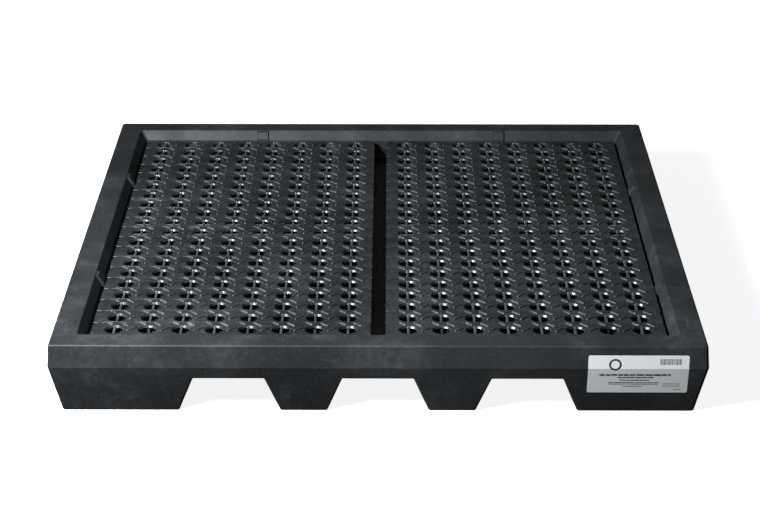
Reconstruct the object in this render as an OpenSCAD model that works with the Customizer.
// Low-profile spill containment pallet for four drums: a rotational-moulded
// sump base, two lift-out deck grates, a label and a side drain fitting.
// X runs across the front, +Y runs from the front to the back, +Z is up and
// the origin is on the floor under the centre. Millimetres.

/* [Base] */
// Width over the parting line of the outer wall
overall_w = 1473; // [1400:1:1600]
// Depth over the parting line of the outer wall
overall_d = 1473; // [1400:1:1600]
// Height of the rim above the floor
overall_h = 172; // [160:1:200]
// Height of the parting line, where the outer wall is widest
part_z = 118; // [105:1:130]
// How far the wall leans in from the parting line to the rim
top_inset = 4; // [2:1:10]
// How far the wall leans in from the parting line to the floor
foot_inset = 25; // [20:1:40]
// Width of the flat rim
rim_w = 57; // [50:1:70]
// Wall thickness of the hollow double wall
skin = 7; // [5:0.5:8]
// Thickness of the sump floor and of the walls over the fork channels
floor_t = 8; // [7:0.5:10]

/* [Sump] */
// How far the lit bevel under the rim leans in
bevel_in = 14; // [8:1:20]
// Height of that bevel
bevel_drop = 25; // [15:1:35]
// Further lean of the inner wall from the bevel down to the ledge
ledge_draft = 3; // [1:1:6]
// Width of the ledge that carries the edge of the deck
ledge_w = 30; // [20:1:40]
// Lean of the well walls from the ledge down to the floor
well_draft = 10; // [5:1:20]

/* [Fork channels] */
// Distance between neighbouring channels
channel_pitch = 334; // [320:1:350]
// Width of a channel at its roof
channel_roof_w = 159; // [150:1:170]
// Width of a channel at the floor
channel_floor_w = 228; // [200:1:235]
// Height of a channel
channel_h = 88; // [80:1:90]

/* [Deck grates] */
// Width of one grate
grate_w = 638; // [630:1:639]
// Length of one grate
grate_l = 1298; // [1280:1:1299]
// Thickness of a grate
grate_h = 51; // [45:1:52]
// Gap between the two grates
grate_gap = 33; // [31:1:40]
// How far the grates sit towards the back
grate_shift = 7; // [0:1:7]
// Diameter of a drain hole in the deck
hole_d = 44; // [38:1:48]
// Distance between hole columns
column_pitch = 76.2; // [70:0.1:78]
// Distance between hole rows
row_pitch = 64.3; // [62:0.1:64.3]
// How far the hole rows sit towards the back of a grate
row_shift = 10.5; // [0:0.5:10.5]
// Hole columns in one grate
columns = 8; // [8]
// Hole rows in one grate
rows = 20; // [20]
// Thickness of the top skin of a grate
deck_t = 6; // [5:0.5:8]
// Thickness of the stiffening ribs
rib_t = 5.5; // [4:0.5:7]

/* [Label] */
// Width of the label
label_w = 224; // [150:1:230]
// Distance from the centre plane to the middle of the label
label_x = 579; // [500:1:580]
// Height of the label's lower edge
label_z0 = 53; // [20:1:60]
// Height of the label's upper edge
label_z1 = 150; // [130:1:160]
// Thickness of the label
label_t = 0.3; // [0.2:0.1:0.5]

/* [Drain] */
// Distance of the drain from the centre plane, towards the back
drain_y = 520; // [400:1:540]
// Height of the drain's axis above the floor
drain_z = 44; // [42:1:46]
// Diameter of the fitting's thread
fitting_d = 42; // [40:1:44]
// Diameter of the fitting's bore and of the plug's thread
bore_d = 29; // [26:1:30]

/* [Hidden] */
past = 1;                       // how far a cut runs past the face it opens
slim = 0.05;                    // radial clearance of a turned piece in its hole
moulded = [0.17, 0.17, 0.18];
paper = [0.93, 0.93, 0.92];
fitting_black = [0.10, 0.10, 0.11];
seal_grey = [0.24, 0.24, 0.25];

inner_w = overall_w - 2 * (top_inset + rim_w);  // inside the rim, across
inner_d = overall_d - 2 * (top_inset + rim_w);  // inside the rim, front to back
ledge_z = channel_h + floor_t;                  // the ledge and the ridge tops
deck_z = ledge_z + grate_h;                     // the deck's walking surface
ledge_wall = bevel_in + ledge_draft;            // inner wall at the ledge, in from the rim
slant = norm([channel_h, (channel_floor_w - channel_roof_w) / 2]) / channel_h;
channel_x = [-channel_pitch, 0, channel_pitch];

// ---- Outlines. The argument t grows a hollow or shrinks a body all round ----

function outer_outline(w, t) = [
    [-(w / 2 - foot_inset - t), t],
    [w / 2 - foot_inset - t, t],
    [w / 2 - t, part_z],
    [w / 2 - top_inset - t, overall_h - t],
    [-(w / 2 - top_inset - t), overall_h - t],
    [-(w / 2 - t), part_z]];

function basin_outline(w, t) = [
    [-(w / 2 + t), overall_h + past],
    [-(w / 2 + t), overall_h],
    [-(w / 2 - bevel_in + t), overall_h - bevel_drop],
    [-(w / 2 - ledge_wall + t), ledge_z - t],
    [w / 2 - ledge_wall + t, ledge_z - t],
    [w / 2 - bevel_in + t, overall_h - bevel_drop],
    [w / 2 + t, overall_h],
    [w / 2 + t, overall_h + past]];

function well_outline(w, t) = [
    [-(w / 2 - ledge_wall - ledge_w + t), ledge_z + past],
    [-(w / 2 - ledge_wall - ledge_w - well_draft + t), floor_t - t],
    [w / 2 - ledge_wall - ledge_w - well_draft + t, floor_t - t],
    [w / 2 - ledge_wall - ledge_w + t, ledge_z + past]];

// Half the width of a fork channel at height z
function channel_half(z) =
    channel_floor_w / 2 - (channel_floor_w - channel_roof_w) / 2 * z / channel_h;

// A trapezium that follows the channel's walls, moved outwards by t
function channel_outline(t, low, high) = [
    [-(channel_half(low) + t * slant), low],
    [channel_half(low) + t * slant, low],
    [channel_half(high) + t * slant, high],
    [-(channel_half(high) + t * slant), high]];

module along_y(outline, length)
    rotate([90, 0, 0]) linear_extrude(length, center = true) polygon(outline);

module along_x(outline, length)
    rotate([90, 0, 90]) linear_extrude(length, center = true) polygon(outline);

// A body with one outline seen from the front and one seen from the side
module crossed(outline_x, outline_y) {
    intersection() {
        along_y(outline_x, overall_d + 2 * past);
        along_x(outline_y, overall_w + 2 * past);
    }
}

// ---- Base ----

module outer_body(t) crossed(outer_outline(overall_w, t), outer_outline(overall_d, t));

module basin(t) crossed(basin_outline(inner_w, t), basin_outline(inner_d, t));

// The lengthwise wells of the sump, divided by the ridges over the channels
module wells(t) {
    difference() {
        crossed(well_outline(inner_w, t), well_outline(inner_d, t));
        for (x = channel_x) translate([x, 0, 0])
            along_y(channel_outline(floor_t - t, -2 * past, ledge_z + 2 * past), overall_d);
    }
}

module channels(t) {
    for (x = channel_x) translate([x, 0, 0])
        along_y(channel_outline(t, -past, channel_h + t), overall_d + 2 * past);
}

// Notch in the outer wall that keeps the drain clear of forks and floor
notch_w = 84;                   // along the wall
notch_top = 82;                 // above the floor
seat_x = 626;                   // the upright seat at the end of the notch
pad_t = 10;                     // wall thickness at the fitting
module drain_notch(t) {
    translate([-overall_w / 2 - past, drain_y - notch_w / 2 - t, -past])
        cube([overall_w / 2 - seat_x + past + t, notch_w + 2 * t, notch_top + past + t]);
}

// Upright pad inside the sump for the locknut
pad_w = 92;
module drain_pad() {
    translate([-seat_x - floor_t, drain_y - pad_w / 2, floor_t / 2])
        cube([floor_t + pad_t, pad_w, notch_top + floor_t / 2 - 1]);
}

// The space inside the double wall
module cavity() {
    difference() {
        outer_body(skin);
        basin(skin);
        wells(skin);
        channels(skin);
        drain_notch(skin);
    }
}

// Retaining lug on the inner bevel. face is where it stops the deck's edge
lug_l = 34;                     // along the wall
module lug(side_w, face, along) {
    edge = side_w / 2;
    translate([0, along, 0]) along_y([
        [edge + 3, overall_h - 2],
        [edge - 8, overall_h - 3],
        [face, overall_h - 20],
        [face, deck_z - 8],
        [edge - bevel_in + 3, deck_z - 8]], lug_l);
}

side_face = grate_gap / 2 + grate_w + 1.5;      // lug faces beside the deck
end_face = grate_shift + grate_l / 2 + 1.5;     // lug faces behind the deck
left_lugs = [-330, 325];
right_lugs = [-370, 265];
end_lugs = [-331, 331];
module lugs() {
    for (y = right_lugs) lug(inner_w, side_face, y);
    for (y = left_lugs) mirror([1, 0, 0]) lug(inner_w, side_face, y);
    for (x = end_lugs) rotate([0, 0, 90]) lug(inner_d, end_face, -x);
    for (x = end_lugs) rotate([0, 0, -90]) lug(inner_d, end_face, x);
}

// The moulding's vent hole, in the underside of the back right foot
vent_x = 668;
vent_y = 560;
vent_d = 12;
vent_head_d = 22;
vent_recess = 2.5;
module vent_hole() {
    translate([vent_x, vent_y, -past]) cylinder(d = vent_d, h = skin + 2 * past);
    translate([vent_x, vent_y, -past]) cylinder(d = vent_head_d + 1, h = vent_recess + past);
}

module on_drain_axis(x) translate([x, drain_y, drain_z]) rotate([0, -90, 0]) children();

module sump_base() color(moulded) {
    difference() {
        union() {
            difference() {
                outer_body(0);
                basin(0);
                wells(0);
                channels(0);
                cavity();
            }
            lugs();
            drain_pad();
        }
        drain_notch(0);
        on_drain_axis(-seat_x + pad_t + past)
            cylinder(d = fitting_d + 0.4, h = pad_t + 2 * past);
        vent_hole();
    }
}

// ---- Deck grates ----

function column_at(i) = (i - (columns - 1) / 2) * column_pitch;
function row_at(j) = row_shift + (j - (rows - 1) / 2) * row_pitch;

lift_column = 1;                // second hole from each side is a hand hole
function is_lift(i, j) =
    (i == lift_column || i == columns - 1 - lift_column) && (j == 0 || j == rows - 1);

module holes() {
    for (i = [0 : columns - 1], j = [0 : rows - 1])
        translate([column_at(i), row_at(j)]) circle(d = hole_d, $fn = 48);
}

// Hand holes have no rib across them
module lift_holes() {
    for (i = [0 : columns - 1], j = [0 : rows - 1])
        if (is_lift(i, j))
            translate([column_at(i), row_at(j)]) circle(d = hole_d, $fn = 48);
}

module deck_outline() square([grate_w, grate_l], center = true);

// Ribs under the deck: one under every hole column, one between, cross ribs
// between the rows, and one more under each of the two middle rows
module rib_lattice() {
    difference() {
        union() {
            difference() {
                deck_outline();
                square([grate_w - 2 * rib_t, grate_l - 2 * rib_t], center = true);
            }
            for (i = [0 : 0.5 : columns - 1]) translate([column_at(i), 0])
                square([rib_t, grate_l], center = true);
            for (j = [0.5 : 1 : rows - 1.5]) translate([0, row_at(j)])
                square([grate_w, rib_t], center = true);
            for (j = [rows / 2 - 1, rows / 2]) translate([0, row_at(j)])
                square([grate_w, rib_t], center = true);
        }
        lift_holes();
    }
}

bar_drop = 2;                   // the ribs stop this far below the surface
module grate() color(moulded) {
    translate([0, 0, grate_h - deck_t]) linear_extrude(deck_t) difference() {
        deck_outline();
        holes();
    }
    linear_extrude(grate_h - bar_drop) rib_lattice();
}

grate_x = (grate_gap + grate_w) / 2;
module grate_left() translate([-grate_x, grate_shift, ledge_z]) grate();
module grate_right() translate([grate_x, grate_shift, ledge_z]) grate();

// ---- Label, folded over the parting line of the front wall ----

// Distance of the front wall from the centre plane at height z
function wall_y(z) = z > part_z
    ? overall_d / 2 - top_inset * (z - part_z) / (overall_h - part_z)
    : overall_d / 2 - foot_inset * (part_z - z) / part_z;

label_r = 4;                    // corner radius of the label
module label() color(paper) {
    label_h = label_z1 - label_z0;
    intersection() {
        translate([label_x, 0, 0]) along_x([
            [-wall_y(label_z0), label_z0],
            [-wall_y(part_z), part_z],
            [-wall_y(label_z1), label_z1],
            [-wall_y(label_z1) - label_t, label_z1],
            [-wall_y(part_z) - label_t, part_z],
            [-wall_y(label_z0) - label_t, label_z0]], label_w);
        translate([label_x, 0, (label_z0 + label_z1) / 2]) rotate([90, 0, 0])
            linear_extrude(overall_d) {
                square([label_w - 2 * label_r, label_h], center = true);
                square([label_w, label_h - 2 * label_r], center = true);
                for (x = [-1, 1], z = [-1, 1])
                    translate([x * (label_w / 2 - label_r), z * (label_h / 2 - label_r)])
                        circle(r = label_r, $fn = 48);
            }
    }
}

// ---- Drain. Each piece is turned about an axis that points out of the wall ----

gasket_t = 3;
flange_d = 64;
flange_t = 6;
nut_d = 62;
nut_t = 12;
nut_notch = 8;
plug_reach = 26;
plug_flange_d = 46;
ring_t = 2.6;
ring_r = 17.6;                  // middle of the sealing ring
neck_t = 2;                     // ring groove between the fitting and the plug's flange

module ring(outer_d, inner_d, h) {
    difference() {
        cylinder(d = outer_d, h = h);
        translate([0, 0, -past]) cylinder(d = inner_d, h = h + 2 * past);
    }
}

module drain_gasket() color(seal_grey)
    on_drain_axis(-seat_x) ring(flange_d - 2, fitting_d + 0.4, gasket_t);

// Flanged body that passes through the wall
module drain_fitting() color(fitting_black) {
    inside = pad_t + nut_t + 3;
    on_drain_axis(-seat_x + inside) difference() {
        union() {
            cylinder(d = fitting_d, h = inside + gasket_t + flange_t);
            translate([0, 0, inside + gasket_t]) cylinder(d = flange_d, h = flange_t);
        }
        translate([0, 0, -past])
            cylinder(d = bore_d, h = inside + gasket_t + flange_t + 2 * past);
    }
}

// Round locknut with six notches, inside the sump
module drain_locknut() color(fitting_black)
    on_drain_axis(-seat_x + pad_t + nut_t) difference() {
        ring(nut_d, fitting_d + 2 * slim, nut_t);
        for (a = [0 : 60 : 300]) rotate([0, 0, a])
            translate([nut_d / 2 - 3, -nut_notch / 2, -past])
                cube([nut_notch, nut_notch, nut_t + 2 * past]);
    }

plug_seat_x = -seat_x - gasket_t - flange_t;    // outer face of the fitting
module plug_o_ring() color(seal_grey)
    on_drain_axis(plug_seat_x) translate([0, 0, ring_t / 2])
        rotate_extrude($fn = 64) translate([ring_r, 0]) circle(d = ring_t, $fn = 24);

// Threaded plug with a flange and a hexagon head
hex_flats = 30;
hex_t = 14;
plug_flange_t = 5;
module drain_plug() color(fitting_black)
    on_drain_axis(plug_seat_x + plug_reach) {
        cylinder(d = bore_d - 2 * slim, h = plug_reach + ring_t + plug_flange_t);
        translate([0, 0, plug_reach + ring_t]) {
            cylinder(d = plug_flange_d, h = plug_flange_t);
            cylinder(d = hex_flats / cos(30), h = plug_flange_t + hex_t, $fn = 6);
        }
    }

// Push-in plug of the vent hole, with its head sunk into the foot
module vent_plug() color(fitting_black) {
    translate([vent_x, vent_y, vent_recess - 1.5]) cylinder(d = vent_head_d, h = 1.5);
    translate([vent_x, vent_y, vent_recess - 1.5])
        cylinder(d = vent_d - 2 * slim, h = skin + 2);
}

sump_base();
grate_left();
grate_right();
label();
drain_fitting();
drain_gasket();
drain_locknut();
drain_plug();
plug_o_ring();
vent_plug();
